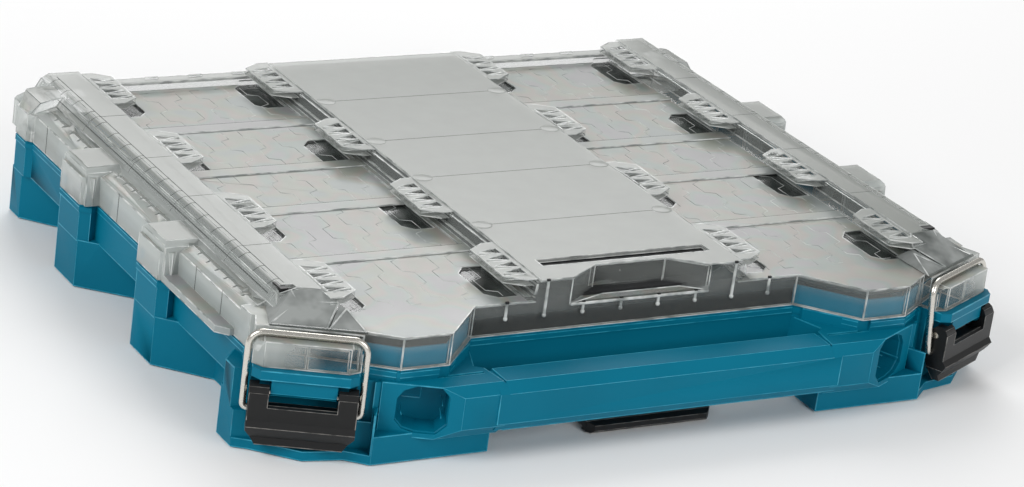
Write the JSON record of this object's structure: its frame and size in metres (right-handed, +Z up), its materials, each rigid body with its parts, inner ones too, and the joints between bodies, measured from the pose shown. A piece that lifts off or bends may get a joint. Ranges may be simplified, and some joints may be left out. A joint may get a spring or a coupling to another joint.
{
  "type": "saw blade storage case",
  "caption": "Flat case for circular saw blades: moulded tray with a carry handle, clear hinged lid with toothed stacking rails, two draw latches and a stack release tab.",
  "frame": {"origin": "centre of the footprint on the ground", "axes": "X across the front, +Y from the handle to the hinges, +Z up"},
  "size_m": [0.5576, 0.46, 0.0945],
  "materials": {
    "tray_plastic": "teal moulded polypropylene, satin gloss",
    "lid_plastic": "clear polycarbonate with lightly frosted tops",
    "black_plastic": "black moulded nylon, fine grain",
    "steel_wire": "zinc plated steel",
    "gasket_rubber": "black rubber",
    "foam": "dark grey closed-cell foam"
  },
  "bodies": {
    "base": {"base_tray": "tray_plastic", "hinge_pins": "steel_wire", "latch_pin_left": "steel_wire", "latch_pin_right": "steel_wire", "stack_tab_keeper": "black_plastic", "stack_tab_screws": "steel_wire", "stack_tab_springs": "steel_wire", "blade_foam": "foam", "blade_post": "black_plastic", "blade_post_screw": "steel_wire", "feet": "gasket_rubber"},
    "lid": {"lid_shell": "lid_plastic", "lid_gasket": "gasket_rubber", "lid_foam": "foam"},
    "lever_left": {"latch_lever_left": "black_plastic"},
    "lever_right": {"latch_lever_right": "black_plastic"},
    "bail_left": {"latch_bail_left": "steel_wire"},
    "bail_right": {"latch_bail_right": "steel_wire"},
    "tab": {"stack_tab": "black_plastic"},
    "knob": {"blade_knob": "black_plastic", "blade_washer": "steel_wire"}
  },
  "joints": [
    {"name": "lid_hinge", "type": "hinge", "parent": "base", "child": "lid", "pos_m": [0, 0.225, 0.0605], "axis": [-1, 0, 0], "range_deg": [0, 100]},
    {"name": "lever_pivot_left", "type": "hinge", "parent": "base", "child": "lever_left", "pos_m": [-0.24424, -0.19631, 0.043], "axis": [-0.9011, 0.4337, 0], "range_deg": [0, 95]},
    {"name": "lever_pivot_right", "type": "hinge", "parent": "base", "child": "lever_right", "pos_m": [0.24424, -0.19631, 0.043], "axis": [-0.9011, -0.4337, 0], "range_deg": [0, 95]},
    {"name": "bail_swing_left", "type": "hinge", "parent": "lever_left", "child": "bail_left", "pos_m": [-0.24346, -0.19469, 0.031], "axis": [0.9011, -0.4337, 0], "range_deg": [0, 124]},
    {"name": "bail_swing_right", "type": "hinge", "parent": "lever_right", "child": "bail_right", "pos_m": [0.24346, -0.19469, 0.031], "axis": [0.9011, 0.4337, 0], "range_deg": [0, 124]},
    {"name": "tab_push", "type": "slide", "parent": "base", "child": "tab", "axis": [0, 1, 0], "range_m": [0, 0.008], "stiffness_N_per_m": 600, "springref_m": -0.002, "deforming": ["stack_tab_springs"]},
    {"name": "knob_turn", "type": "hinge", "parent": "base", "child": "knob", "pos_m": [0, 0.022, 0.05], "axis": [0, 0, 1], "range_deg": [0, 1080]}
  ],
  "couplings": [
    {"joint": "bail_swing_left", "follows": "lever_pivot_left", "ratio": 1.3},
    {"joint": "bail_swing_right", "follows": "lever_pivot_right", "ratio": 1.3}
  ]
}
